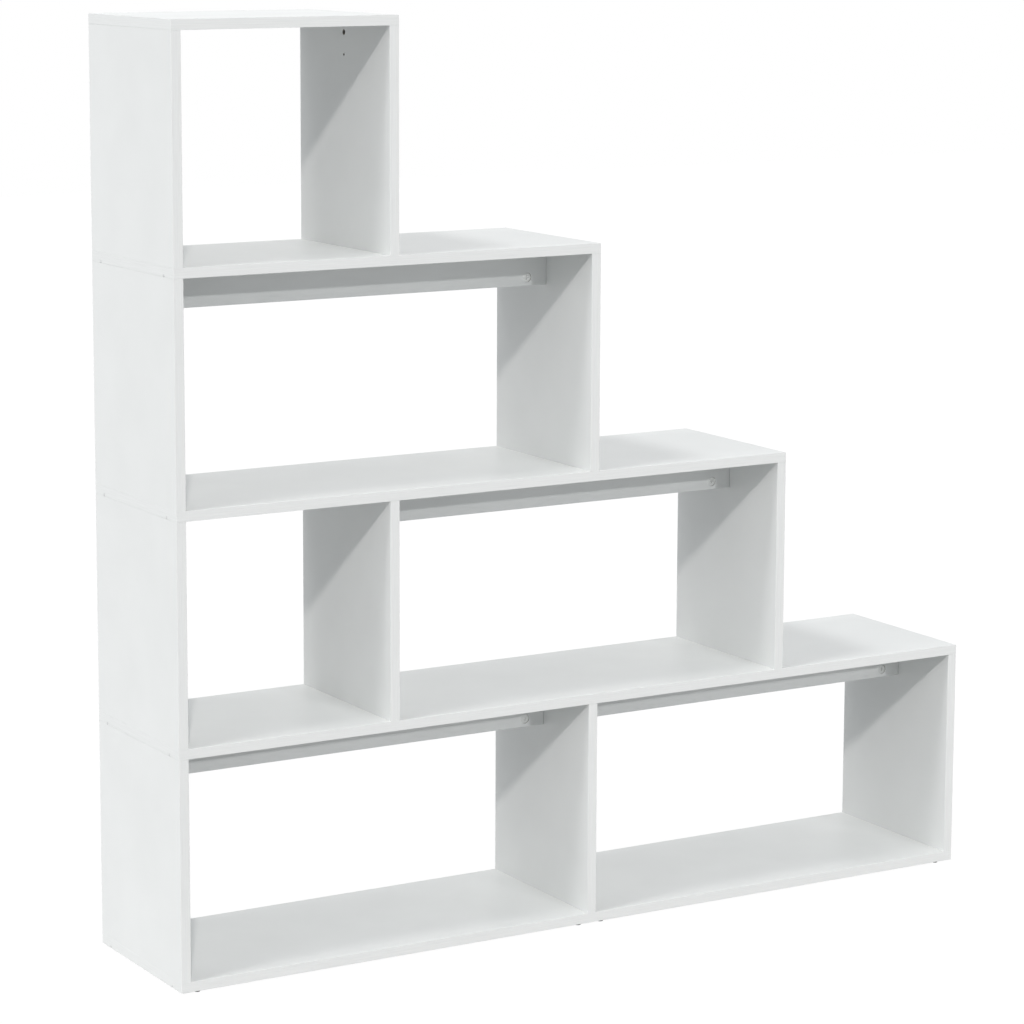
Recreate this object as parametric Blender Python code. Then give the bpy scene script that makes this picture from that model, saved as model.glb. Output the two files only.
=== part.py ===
"""A stepped room divider bookcase of white panels, open at the back and free-standing.

Boards run the full width of each step. Uprights one row high stand between them, and a rail under
the shelf stiffens every opening that is two cells wide. X runs to the right, the front looks along
-Y, and the origin is on the floor below the middle of the bookcase.
"""

import math

import bmesh
import bpy
from mathutils import Matrix, Vector

MM = 0.001

# Cells and panels
CELL_WIDTH = 326.25 * MM
CELL_HEIGHT = 326.25 * MM
DEPTH = 275.0 * MM
PANEL = 15.0 * MM
EDGE_ROUND = 0.6 * MM

# The cell lines that each row's uprights stand on, from the floor up, counted from the left
UPRIGHT_LINES = ((0, 2, 4), (0, 1, 3), (0, 2), (0, 1))
BOARD_NAMES = ("bottom_board", "shelf_1", "shelf_2", "shelf_3", "top_board")

# Clearances
JOINT_GAP = 0.3 * MM
FIT_GAP = 0.25 * MM

# Screws that come up through a board into the end of the upright on it
SCREW_INSET = 31.5 * MM
SCREW_D = 6.0 * MM
SCREW_LENGTH = 46.0 * MM
SCREW_TIP = 4.0 * MM
HEAD_D = 15.0 * MM
HEAD_HEIGHT = 3.4 * MM
HEAD_SINK = 0.35 * MM
HEAD_CHAMFER = 0.5 * MM
SEAT_CLEAR = 0.5 * MM
SOCKET_WIDTH = 4.0 * MM
SOCKET_DEPTH = 2.2 * MM

# Wooden dowels
DOWEL_D = 7.5 * MM
DOWEL_CHAMFER = 0.8 * MM
DOWEL_ROOT = 6.0 * MM
DOWEL_SKIN = 4.5 * MM
DOWEL_FROM_SCREW = 32.0 * MM

# Rails, and the two holes at each end of one
RAIL_DOWEL_DROP = 14.0 * MM
RAIL_HOLE_SPACING = 32.0 * MM
RAIL_BELOW_BOLT = 12.0 * MM

# Cam locks and their bolts
CAM_FROM_FACE = 34.0 * MM
CAM_D = 14.5 * MM
CAM_SINK = 0.4 * MM
CAM_CHAMFER = 0.5 * MM
CAM_REAR_WALL = 1.1 * MM
CROSS_LENGTH = 6.4 * MM
CROSS_WIDTH = 1.3 * MM
CROSS_DEPTH = 1.6 * MM
JAW_GRIP = 0.65 * MM
HOLLOW_CLEAR = 0.7 * MM
NECK_CLEAR = 0.25 * MM
BOLT_HEAD_D = 7.0 * MM
BOLT_NECK_D = 4.0 * MM
BOLT_NECK_PAST_CAM = 2.75 * MM
BOLT_STEM_D = 7.5 * MM
BOLT_THREAD_D = 4.5 * MM
BOLT_SKIN = 4.5 * MM

# Glides under the bottom board
GLIDE_D = 10.0 * MM
GLIDE_HEIGHT = 2.5 * MM
GLIDE_FROM_UPRIGHT = 20.0 * MM
GLIDE_INSET = 8.0 * MM
GLIDE_CHAMFER = 0.7 * MM
GLIDE_PIN_D = 2.5 * MM
GLIDE_PIN_LENGTH = 9.0 * MM

# Fineness of the round shapes
WIDE_STEPS = 12
SLIM_STEPS = 8
EDGE_STEPS = 2
BALL_STEPS = 3
SHARP_ANGLE = math.radians(35.0)

# What follows from the sizes above
CELL_PITCH = CELL_WIDTH + PANEL
LEVEL_PITCH = CELL_HEIGHT + PANEL
WIDTH = UPRIGHT_LINES[0][-1] * CELL_PITCH + PANEL
BOARD_CELLS = (UPRIGHT_LINES[0][-1],) + tuple(lines[-1] for lines in UPRIGHT_LINES)
UPRIGHT_HEIGHT = CELL_HEIGHT - 2 * JOINT_GAP
RAIL_HEIGHT = RAIL_DOWEL_DROP + RAIL_HOLE_SPACING + RAIL_BELOW_BOLT
DOWEL_REACH = PANEL - DOWEL_SKIN
BOLT_REACH = PANEL - BOLT_SKIN
SCREW_Y = DEPTH / 2 - SCREW_INSET
DOWEL_Y = SCREW_Y - DOWEL_FROM_SCREW
GLIDE_Y = DEPTH / 2 - GLIDE_INSET
HEAD_TOP = HEAD_SINK + HEAD_HEIGHT
SEAT_DEPTH = HEAD_TOP + FIT_GAP
OVERSHOOT = PANEL / 2

COLOURS = {
    "white_melamine": ((0.84, 0.85, 0.85), 0.35, 0.0),
    "zinc_cam": ((0.60, 0.60, 0.58), 0.40, 1.0),
    "plated_screw": ((0.66, 0.66, 0.65), 0.30, 1.0),
    "black_glide": ((0.02, 0.02, 0.02), 0.50, 0.0),
}


def level(number):
    """Height of the underside of a board, counted from the bottom one."""
    return GLIDE_HEIGHT + number * LEVEL_PITCH


def line_x(line):
    """Middle of the uprights that stand on a cell line."""
    return line * CELL_PITCH + PANEL / 2 - WIDTH / 2


def rail_spans(row):
    """Neighbouring uprights of a row that stand more than one cell apart."""
    lines = UPRIGHT_LINES[row]
    return [(left, right) for left, right in zip(lines, lines[1:]) if right - left > 1]


def drilled_sides(row, line):
    """Faces of an upright that are drilled for a rail: -1 is the left face and 1 the right one."""
    sides = [1 for left, _ in rail_spans(row) if left == line]
    sides += [-1 for _, right in rail_spans(row) if right == line]
    if not sides:
        sides = [1 if line == UPRIGHT_LINES[row][0] else -1]
    return sides


def clear_scene():
    for item in list(bpy.data.objects):
        bpy.data.objects.remove(item)


def material(kind):
    found = bpy.data.materials.get(kind)
    if found:
        return found
    colour, roughness, metallic = COLOURS[kind]
    made = bpy.data.materials.new(kind)
    made.use_nodes = True
    shader = made.node_tree.nodes["Principled BSDF"]
    shader.inputs["Base Color"].default_value = (*colour, 1.0)
    shader.inputs["Roughness"].default_value = roughness
    shader.inputs["Metallic"].default_value = metallic
    return made


def block(low, high):
    """A box between two corners."""
    low, high = Vector(low), Vector(high)
    place = Matrix.Translation((low + high) / 2) @ Matrix.Diagonal(high - low).to_4x4()
    bm = bmesh.new()
    bmesh.ops.create_cube(bm, size=1.0, matrix=place)
    return bm


def rounded(bm, chosen):
    """Rounds the edges that the given test picks by their middle and direction."""
    edges = []
    for edge in bm.edges:
        start, end = (vert.co for vert in edge.verts)
        if chosen((start + end) / 2, (end - start).normalized()):
            edges.append(edge)
    bmesh.ops.bevel(bm, geom=edges, offset=EDGE_ROUND, segments=EDGE_STEPS, profile=0.5, affect="EDGES")
    return bm


def turned(profile, steps):
    """Spins a profile of (radius, height) points about Z. Its two ends lie on the axis."""
    bm = bmesh.new()
    verts = [bm.verts.new((radius, 0.0, height)) for radius, height in profile]
    edges = [bm.edges.new(pair) for pair in zip(verts, verts[1:])]
    bmesh.ops.spin(bm, geom=verts + edges, cent=(0, 0, 0), axis=(0, 0, 1), dvec=(0, 0, 0),
                   angle=math.tau, steps=steps, use_merge=True)
    bmesh.ops.remove_doubles(bm, verts=bm.verts, dist=1e-6)
    bmesh.ops.recalc_face_normals(bm, faces=bm.faces)
    return bm


def rod(diameter, start, end, steps=SLIM_STEPS, chamfer=0.0):
    """A round bar along Z, with both ends chamfered if a chamfer is given."""
    radius = diameter / 2
    profile = [(0.0, start), (radius - chamfer, start), (radius, start + chamfer),
               (radius, end - chamfer), (radius - chamfer, end), (0.0, end)]
    if not chamfer:
        profile = [(0.0, start), (radius, start), (radius, end), (0.0, end)]
    return turned(profile, steps)


def moved(bm, offset, along="Z"):
    """Lays a shape made along Z along another axis, and then moves it."""
    turns = {"Z": Matrix.Identity(3), "X": Matrix.Rotation(math.pi / 2, 3, "Y"),
             "-X": Matrix.Rotation(-math.pi / 2, 3, "Y"), "Y": Matrix.Rotation(-math.pi / 2, 3, "X")}
    bmesh.ops.rotate(bm, cent=(0, 0, 0), matrix=turns[along], verts=bm.verts)
    bmesh.ops.translate(bm, vec=offset, verts=bm.verts)
    return bm


def as_mesh(bm, name):
    mesh = bpy.data.meshes.new(name)
    bm.to_mesh(mesh)
    bm.free()
    return mesh


def gathered(shapes):
    """One mesh of several shapes that don't meet."""
    bm = bmesh.new()
    for shape in shapes:
        piece = as_mesh(shape, "shape")
        bm.from_mesh(piece)
        bpy.data.meshes.remove(piece)
    return as_mesh(bm, "shapes")


def combined(mesh, shapes, operation):
    """The mesh with the shapes cut out of it or joined to it by an exact Boolean."""
    if not shapes:
        return mesh
    body = bpy.data.objects.new("body", mesh)
    tool = bpy.data.objects.new("tool", gathered(shapes))
    for item in (body, tool):
        bpy.context.scene.collection.objects.link(item)
    boolean = body.modifiers.new("boolean", "BOOLEAN")
    boolean.operation = operation
    boolean.solver = "EXACT"
    boolean.object = tool
    bpy.context.view_layer.update()
    graph = bpy.context.evaluated_depsgraph_get()
    result = bpy.data.meshes.new_from_object(body.evaluated_get(graph))
    for item in (body, tool):
        spent = item.data
        bpy.data.objects.remove(item)
        bpy.data.meshes.remove(spent)
    return result


def place(name, mesh, kind, location, rotation=(0.0, 0.0, 0.0), smooth=False):
    """Adds a named piece to the bookcase, with its material."""
    if not mesh.materials:
        mesh.materials.append(material(kind))
    if smooth:
        mesh.shade_smooth()
        mesh.set_sharp_from_angle(angle=SHARP_ANGLE)
    piece = bpy.data.objects.new(name, mesh)
    bpy.context.scene.collection.objects.link(piece)
    piece.location = location
    piece.rotation_euler = rotation
    piece.parent = bpy.data.objects["bookcase"]
    return piece


# Boards

def screw_seat():
    """The hole for a screw: a round seat for its head in the underside, and a through hole."""
    seat, hole = HEAD_D / 2 + SEAT_CLEAR, SCREW_D / 2 + FIT_GAP
    profile = [(0.0, -OVERSHOOT), (seat, -OVERSHOOT), (seat, SEAT_DEPTH), (hole, SEAT_DEPTH),
               (hole, PANEL + OVERSHOOT), (0.0, PANEL + OVERSHOOT)]
    return turned(profile, WIDE_STEPS)


def dowel_hole(depth):
    return rod(DOWEL_D + 2 * FIT_GAP, -OVERSHOOT, depth)


def glide_places():
    """Middles of the glides: one on each side of an upright, where the bottom board goes on."""
    places = []
    for line in UPRIGHT_LINES[0]:
        for side in (-1, 1):
            x = line_x(line) + side * GLIDE_FROM_UPRIGHT
            if abs(x) < WIDTH / 2:
                places.append(x)
    return places


def board_mesh(number):
    """Its left end is at x = 0 and its underside at z = 0."""
    length = BOARD_CELLS[number] * CELL_PITCH + PANEL
    bm = rounded(block((0, -DEPTH / 2, 0), (length, DEPTH / 2, PANEL)), lambda middle, along: True)
    above = UPRIGHT_LINES[number] if number < len(UPRIGHT_LINES) else ()
    below = UPRIGHT_LINES[number - 1] if number else ()
    holes = []
    for side in (-1, 1):
        for line in above:
            holes.append(moved(screw_seat(), (line * CELL_PITCH + PANEL / 2, side * SCREW_Y, 0)))
        for line in below:
            hole = dowel_hole(DOWEL_REACH + FIT_GAP)
            holes.append(moved(hole, (line * CELL_PITCH + PANEL / 2, side * DOWEL_Y, 0)))
        if number == 0:
            for x in glide_places():
                hole = rod(GLIDE_PIN_D + 2 * FIT_GAP, -OVERSHOOT, GLIDE_PIN_LENGTH + FIT_GAP)
                holes.append(moved(hole, (x + WIDTH / 2, side * GLIDE_Y, 0)))
    return combined(as_mesh(bm, BOARD_NAMES[number]), holes, "DIFFERENCE")


def add_boards():
    for number, name in enumerate(BOARD_NAMES):
        place(name, board_mesh(number), "white_melamine", (-WIDTH / 2, 0, level(number)))


# Uprights

def upright_place(row, line):
    """The name of an upright's place in its row."""
    lines = UPRIGHT_LINES[row]
    places = ("left", "right") if len(lines) == 2 else ("left", "middle", "right")
    return f"row{row + 1}_{places[lines.index(line)]}"


def upright_mesh(row, line):
    """It stands on z = 0, about the Z axis, with two dowels glued into its top end.

    Every upright is drilled for a rail, also where no rail comes. The holes go right through where
    two rails meet at it.
    """
    half = PANEL / 2
    bm = rounded(block((-half, -DEPTH / 2, 0), (half, DEPTH / 2, UPRIGHT_HEIGHT)),
                 lambda middle, along: abs(along.z) > 0.5)
    screw_depth = HEAD_TOP + SCREW_LENGTH - PANEL - JOINT_GAP + FIT_GAP
    ends, dowels = [], []
    for side in (-1, 1):
        bore = rod(SCREW_D + 2 * FIT_GAP, -OVERSHOOT, screw_depth, WIDE_STEPS)
        ends.append(moved(bore, (0, side * SCREW_Y, 0)))
        top = UPRIGHT_HEIGHT + JOINT_GAP + DOWEL_REACH
        dowel = rod(DOWEL_D, UPRIGHT_HEIGHT - DOWEL_ROOT, top, chamfer=DOWEL_CHAMFER)
        dowels.append(moved(dowel, (0, side * DOWEL_Y, 0)))
    shelf = UPRIGHT_HEIGHT + JOINT_GAP
    sides = drilled_sides(row, line)
    for diameter, reach, drop in (
            (DOWEL_D, DOWEL_REACH, RAIL_DOWEL_DROP),
            (BOLT_THREAD_D, BOLT_REACH, RAIL_DOWEL_DROP + RAIL_HOLE_SPACING)):
        depth = reach + FIT_GAP if len(sides) == 1 else PANEL + OVERSHOOT
        bore = rod(diameter + 2 * FIT_GAP, -OVERSHOOT, depth)
        along = "-X" if sides[0] > 0 else "X"
        ends.append(moved(bore, (sides[0] * half, 0, shelf - drop), along))
    mesh = combined(as_mesh(bm, "upright"), ends, "DIFFERENCE")
    return combined(mesh, dowels, "UNION")


def add_uprights():
    for row, lines in enumerate(UPRIGHT_LINES):
        foot = level(row) + PANEL + JOINT_GAP
        for line in lines:
            name = f"upright_{upright_place(row, line)}"
            place(name, upright_mesh(row, line), "white_melamine", (line_x(line), 0, foot))


# Rails

def rail_name(row, left):
    spans = rail_spans(row)
    if len(spans) == 1:
        return f"rail_row{row + 1}"
    return f"rail_row{row + 1}_{'left' if spans[0][0] == left else 'right'}"


def meets_rail(row, line, inward):
    """True where another rail of the row ends on the far face of the same upright.

    inward is 1 at the left end of the rail that asks, and -1 at its right end.
    """
    return any(line == (right if inward > 0 else left) for left, right in rail_spans(row))


def rail_mesh(row, left, right):
    """Its left end is at x = 0 and its top edge at z = 0. It is bored from its ends and its front."""
    length = (right - left) * CELL_PITCH - PANEL - 2 * JOINT_GAP
    bm = rounded(block((0, -PANEL / 2, -RAIL_HEIGHT), (length, PANEL / 2, 0)),
                 lambda middle, along: abs(along.x) > 0.5 and middle.z < -RAIL_HEIGHT / 2)
    dowel_z = JOINT_GAP - RAIL_DOWEL_DROP
    bolt_z = dowel_z - RAIL_HOLE_SPACING
    pockets, bores, dowels = [], [], []
    for end, line, inward in ((0.0, left, 1), (length, right, -1)):
        cam_x = end + inward * (CAM_FROM_FACE - JOINT_GAP)
        pocket = rod(CAM_D + 2 * FIT_GAP, -OVERSHOOT, cam_depth() + FIT_GAP, WIDE_STEPS)
        pockets.append(moved(pocket, (cam_x, -PANEL / 2, bolt_z), "Y"))
        along = "X" if inward > 0 else "-X"
        bore = rod(BOLT_STEM_D + 2 * FIT_GAP, -OVERSHOOT, CAM_FROM_FACE)
        bores.append(moved(bore, (end, 0, bolt_z), along))
        through = meets_rail(row, line, inward)
        if through and inward > 0:
            hole = rod(DOWEL_D + 2 * FIT_GAP, -OVERSHOOT, DOWEL_REACH + FIT_GAP)
            bores.append(moved(hole, (end, 0, dowel_z), along))
            continue
        reach = JOINT_GAP + DOWEL_REACH
        if through:
            reach = 2 * JOINT_GAP + PANEL + DOWEL_REACH
        dowel = rod(DOWEL_D, -reach, DOWEL_ROOT, chamfer=DOWEL_CHAMFER)
        dowels.append(moved(dowel, (end, 0, dowel_z), along))
    mesh = combined(as_mesh(bm, "rail"), pockets, "DIFFERENCE")
    mesh = combined(mesh, bores, "DIFFERENCE")
    return combined(mesh, dowels, "UNION")


def add_rails():
    for row in range(len(UPRIGHT_LINES)):
        top = level(row + 1) - JOINT_GAP
        for left, right in rail_spans(row):
            start = line_x(left) + PANEL / 2 + JOINT_GAP
            place(rail_name(row, left), rail_mesh(row, left, right), "white_melamine", (start, 0, top))


# Cam locks. A lock's axis is Z, its face looks along +Z, and z = 0 is the rail's front face.

def cam_depth():
    """From the rail's face to the back of the lock."""
    return PANEL / 2 + BOLT_HEAD_D / 2 + JOINT_GAP + CAM_REAR_WALL


def bolt_profile(through):
    """The bolt from the middle of its head outwards, and mirrored if it has a head at both ends."""
    head, neck, stem, thread = (size / 2 for size in (BOLT_HEAD_D, BOLT_NECK_D, BOLT_STEM_D, BOLT_THREAD_D))
    neck_angle = math.asin(neck / head)
    profile = []
    for step in range(BALL_STEPS + 1):
        angle = math.pi - step * (math.pi - neck_angle) / BALL_STEPS
        profile.append((head * math.sin(angle) if step else 0.0, head * math.cos(angle)))
    collar = CAM_FROM_FACE - JOINT_GAP
    shoulder = CAM_D / 2 + BOLT_NECK_PAST_CAM
    profile += [(neck, shoulder), (stem, shoulder + stem - neck), (stem, collar), (thread, collar)]
    if through:
        span = 2 * CAM_FROM_FACE + PANEL
        return profile + [(radius, span - height) for radius, height in reversed(profile)]
    tip = CAM_FROM_FACE + BOLT_REACH
    return profile + [(thread, tip - thread / 2), (thread / 2, tip), (0.0, tip)]


def cam_mesh(side, bolt):
    """A drum with a hollow for the bolt's head, a way in for it and a slot for its neck.

    The hollow is off the middle, so that its wall beside the slot grips the head as the drum turns.
    The lock that only meets the far head of the double bolt leaves it free all round.
    """
    radius, depth, axis = CAM_D / 2, cam_depth(), -PANEL / 2
    ball = BOLT_HEAD_D / 2
    hollow = ball + HOLLOW_CLEAR
    neck = BOLT_NECK_D / 2 + NECK_CLEAR
    wall = math.sqrt(ball * ball - neck * neck) - JAW_GRIP if bolt else hollow
    profile = [(0.0, -CAM_SINK), (radius - CAM_CHAMFER, -CAM_SINK), (radius, -CAM_SINK - CAM_CHAMFER),
               (radius, -depth), (0.0, -depth)]
    mesh = as_mesh(turned(profile, WIDE_STEPS), "cam_lock")
    height = ball + JOINT_GAP
    cavity = moved(rod(2 * hollow, axis - height, axis + height, WIDE_STEPS), (wall - hollow, 0, 0))
    way_in = moved(rod(2 * height, 0, 2 * radius), (wall - hollow, 0, axis), "-X")
    slot = block((-2 * radius, -2 * radius, axis - neck), (2 * radius, neck, axis + neck))
    long, wide = CROSS_LENGTH / 2, CROSS_WIDTH / 2
    cross = [block((-long, -wide, -CAM_SINK - CROSS_DEPTH), (long, wide, 0)),
             block((-wide, -long, -CAM_SINK - CROSS_DEPTH), (wide, long, 0))]
    for shape in (cavity, way_in, slot, *cross):
        mesh = combined(mesh, [shape], "DIFFERENCE")
    if bolt:
        shaft = moved(turned(bolt_profile(bolt == "double"), SLIM_STEPS), (0, 0, axis), "X")
        mesh = combined(mesh, [shaft], "UNION")
    if side < 0:
        mesh.transform(Matrix.Rotation(math.pi, 4, "Z"))
    return mesh


def add_cams():
    number = 0
    for row in range(len(UPRIGHT_LINES)):
        height = level(row + 1) - RAIL_DOWEL_DROP - RAIL_HOLE_SPACING
        for left, right in rail_spans(row):
            for line, side in ((left, -1), (right, 1)):
                bolt = "single"
                if meets_rail(row, line, -side):
                    bolt = "double" if side > 0 else None
                number += 1
                x = line_x(line) - side * (PANEL / 2 + CAM_FROM_FACE)
                place(f"cam_lock_{number}", cam_mesh(side, bolt), "zinc_cam", (x, -PANEL / 2, height),
                      (math.pi / 2, 0, 0), smooth=True)


# Screws. z = 0 is the underside of the board, and the axis is Z.

def screw_mesh():
    head, shank = HEAD_D / 2, SCREW_D / 2
    face, tip = HEAD_TOP - HEAD_HEIGHT, HEAD_TOP + SCREW_LENGTH
    profile = [(0.0, face), (head - HEAD_CHAMFER, face), (head, face + HEAD_CHAMFER), (head, HEAD_TOP),
               (shank, HEAD_TOP), (shank, tip - SCREW_TIP), (0.0, tip)]
    mesh = as_mesh(turned(profile, WIDE_STEPS), "screw")
    across_corners = SOCKET_WIDTH / math.cos(math.pi / 6)
    socket = rod(across_corners, -OVERSHOOT, face + SOCKET_DEPTH, steps=6)
    return combined(mesh, [socket], "DIFFERENCE")


def add_screws():
    mesh = screw_mesh()
    for row, lines in enumerate(UPRIGHT_LINES):
        for line in lines:
            for end, side in (("front", -1), ("back", 1)):
                name = f"screw_{upright_place(row, line)}_{end}"
                place(name, mesh, "plated_screw", (line_x(line), side * SCREW_Y, level(row)), smooth=True)


# Glides. z = 0 is the floor, and the axis is Z.

def glide_mesh():
    foot, pin = GLIDE_D / 2, GLIDE_PIN_D / 2
    seat = GLIDE_HEIGHT - JOINT_GAP
    profile = [(0.0, 0.0), (foot - GLIDE_CHAMFER, 0.0), (foot, GLIDE_CHAMFER), (foot, seat), (pin, seat),
               (pin, GLIDE_HEIGHT + GLIDE_PIN_LENGTH - pin), (0.0, GLIDE_HEIGHT + GLIDE_PIN_LENGTH)]
    return as_mesh(turned(profile, WIDE_STEPS), "glide")


def add_glides():
    mesh = glide_mesh()
    for end, side in (("front", -1), ("back", 1)):
        for number, x in enumerate(glide_places()):
            place(f"glide_{end}_{number + 1}", mesh, "black_glide", (x, side * GLIDE_Y, 0), smooth=True)


def main():
    clear_scene()
    bookcase = bpy.data.objects.new("bookcase", None)
    bpy.context.scene.collection.objects.link(bookcase)
    add_boards()
    add_uprights()
    add_rails()
    add_cams()
    add_screws()
    add_glides()
    bpy.context.view_layer.update()
    height = level(len(UPRIGHT_LINES)) + PANEL
    print("width, depth and height in mm:", [round(size / MM, 1) for size in (WIDTH, DEPTH, height)])


main()
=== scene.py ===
# %% [markdown]
# # A stepped room divider bookcase in white melamine
#
# The real object is a stack of flat white panels. Boards run the full width of each step, uprights one
# row high stand between them, and a rail under the shelf stiffens each opening that is two cells wide.
# It stands free, it has no back, and it is held together by screws, dowels and cam locks.
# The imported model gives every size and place, so this file only adds what the eye needs: edge bands,
# drilled holes, fine fittings, finishes, light and a camera.

# %% Load the frame
import math

import bmesh
import bpy
from mathutils import Matrix, Vector


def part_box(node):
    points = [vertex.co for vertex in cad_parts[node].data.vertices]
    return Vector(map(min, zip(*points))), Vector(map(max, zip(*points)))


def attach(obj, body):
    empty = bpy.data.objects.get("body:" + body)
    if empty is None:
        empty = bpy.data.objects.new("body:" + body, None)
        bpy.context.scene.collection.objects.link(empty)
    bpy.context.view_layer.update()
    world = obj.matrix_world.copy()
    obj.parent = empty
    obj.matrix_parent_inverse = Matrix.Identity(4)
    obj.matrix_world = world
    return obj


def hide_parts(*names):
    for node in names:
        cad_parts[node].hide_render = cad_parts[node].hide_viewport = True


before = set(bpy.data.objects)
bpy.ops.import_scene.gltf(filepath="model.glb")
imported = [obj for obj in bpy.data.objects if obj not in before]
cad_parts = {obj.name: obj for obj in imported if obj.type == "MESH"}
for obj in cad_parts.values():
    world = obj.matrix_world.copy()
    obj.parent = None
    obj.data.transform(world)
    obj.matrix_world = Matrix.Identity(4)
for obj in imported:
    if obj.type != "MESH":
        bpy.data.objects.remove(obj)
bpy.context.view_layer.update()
MM = 0.001

# %% [markdown]
# ## Reading the panels' places
#
# The frame has a node for each board, upright, rail, screw, cam lock and glide. Their places could be
# typed in here too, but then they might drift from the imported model, so each is read from a node's box.
# Boards are listed from the floor up.

# %% The nodes of each kind
def nodes_called(start):
    """The names of the nodes that start with a word, in order."""
    return sorted(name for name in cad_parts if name.startswith(start))


BOARDS = ("bottom_board", "shelf_1", "shelf_2", "shelf_3", "top_board")
UPRIGHTS = nodes_called("upright_")
RAILS = nodes_called("rail_")
SCREWS = nodes_called("screw_")
LOCKS = nodes_called("cam_lock_")
GLIDES = nodes_called("glide_")

board_box = {name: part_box(name) for name in BOARDS}
PANEL = board_box["bottom_board"][1].z - board_box["bottom_board"][0].z
print("panels", round(PANEL / MM, 1), "mm thick,", len(BOARDS), "boards,", len(UPRIGHTS), "uprights,",
      len(RAILS), "rails,", len(SCREWS), "screws,", len(LOCKS), "locks,", len(GLIDES), "glides")

# %% [markdown]
# A board's box is the board itself. An upright's box also holds the dowels that stand out of its top, so
# its height is taken from the boards above and below it. An upright meets a rail on one side, on both
# sides or on neither, and that decides how it is drilled.

# %% Which panels meet
def row_of(name):
    """The row that a piece's name gives, counted from 0 at the floor."""
    return int(name.split("row")[1][0]) - 1


def middle(name):
    """The middle of a node's box."""
    low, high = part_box(name)
    return (low + high) / 2


def stands(row):
    """The uprights of a row, from left to right."""
    return sorted((name for name in UPRIGHTS if row_of(name) == row), key=lambda name: middle(name).x)


def uprights_at(rail):
    """The uprights at a rail's left and right end."""
    return [min(stands(row_of(rail)), key=lambda name: abs(middle(name).x - corner.x))
            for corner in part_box(rail)]


def rail_faces(upright):
    """The faces of an upright that a rail meets: -1 is its left face, 1 its right face."""
    pairs = [uprights_at(rail) for rail in RAILS if row_of(rail) == row_of(upright)]
    return [side for side, end in ((-1, 1), (1, 0)) if any(pair[end] == upright for pair in pairs)]


print("rails end on:", {name: rail_faces(name) for name in UPRIGHTS})

# %% [markdown]
# ## Colours and nodes
#
# Every colour is written as an sRGB hex value, as a paint chart or a picture editor shows it. Blender's
# shaders want linear light, so one function turns one into the other. Another adds a node with its
# settings and its links. It serves the materials and the Geometry Nodes trees alike, and each call shows
# the node's and the sockets' own names, as Blender's editors do.

# %% Colour and node helpers
def linear(hex_colour):
    """An sRGB hex colour as linear red, green, blue and alpha."""
    parts = [int(hex_colour[start:start + 2], 16) / 255 for start in (1, 3, 5)]
    return (*(part / 12.92 if part <= 0.04045 else ((part + 0.055) / 1.055) ** 2.4 for part in parts), 1.0)


def add_node(tree, kind, inputs=None, **settings):
    """Adds a node, sets its properties, and sets or links its inputs by name or number."""
    made = tree.nodes.new(kind)
    for name, value in settings.items():
        setattr(made, name, value)
    for name, value in (inputs or {}).items():
        if isinstance(value, bpy.types.NodeSocket):
            tree.links.new(value, made.inputs[name])
        else:
            made.inputs[name].default_value = value
    return made


def finish_of(name, roughness, metallic=0.0):
    """A new material with its typical roughness and metallic value, its tree and its shader."""
    made = bpy.data.materials.new(name)
    made.use_nodes = True
    shader = made.node_tree.nodes["Principled BSDF"]
    shader.inputs["Roughness"].default_value = roughness
    shader.inputs["Metallic"].default_value = metallic
    return made, made.node_tree, shader


print("mid grey in linear light:", round(linear("#808080")[0], 3))

# %% [markdown]
# ### Patterns
#
# No real surface is quite even, and on most of them one cause changes the tone, the gloss and the relief
# together: where a plate pressed less, the surface stands higher and is duller. So one noise drives all
# three here. Photographs of surfaces could do it too, but each needs a file and a UV map, while noise
# takes any size, in real millimetres, and never repeats.

# %% Patterns and what they drive
def pattern(tree, size, detail=2.0, stretch=(1.0, 1.0, 1.0), coordinates="Object"):
    """Noise with blotches of about a real size, drawn longer along an axis whose stretch is under 1."""
    place = add_node(tree, "ShaderNodeTexCoord").outputs[coordinates]
    scaled = add_node(tree, "ShaderNodeMapping", {"Vector": place, "Scale": stretch}).outputs[0]
    return add_node(tree, "ShaderNodeTexNoise", {"Vector": scaled, "Scale": 1 / size,
                                                 "Detail": detail}).outputs[0]


def toned(tree, factor, *stops):
    """A colour ramp from pairs of place and hex colour."""
    ramp = add_node(tree, "ShaderNodeValToRGB", {0: factor})
    points = ramp.color_ramp.elements
    for _ in stops[2:]:
        points.new(0.5)
    for point, (place, hex_colour) in zip(points, sorted(stops)):
        point.position = place
        point.color = linear(hex_colour)
    return ramp.outputs[0]


def dress(tree, shader, tones, tone_by, depth, relief_by=None, roughness=None):
    """Drives tone by one pattern, and roughness and relief, of a depth in metres, by it or by another."""
    if relief_by is None:
        relief_by = tone_by
    tree.links.new(toned(tree, tone_by, *tones), shader.inputs["Base Color"])
    if roughness:
        low, high = roughness
        spread = add_node(tree, "ShaderNodeMapRange", {"Value": relief_by, "To Min": low, "To Max": high})
        tree.links.new(spread.outputs[0], shader.inputs["Roughness"])
    bump = add_node(tree, "ShaderNodeBump", {"Height": relief_by, "Distance": depth})
    tree.links.new(bump.outputs[0], shader.inputs["Normal"])


print("1 mm blotches need a noise scale of", 1 / (1.0 * MM))

# %% [markdown]
# ### White melamine
#
# Melamine-faced chipboard carries a sheet of resin-soaked paper, pressed on hot against a lightly
# pearled plate. The eye gets an even, slightly cool white, a satin sheen and no grain. A flat white would
# be the simplest finish, but wide panels would then look lifeless, so the tone drifts a little over 90 mm
# and the pearling breaks the sheen. Real pearling is about half a millimetre across and would vanish at
# this distance, so it is drawn 3 mm wide.

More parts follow.
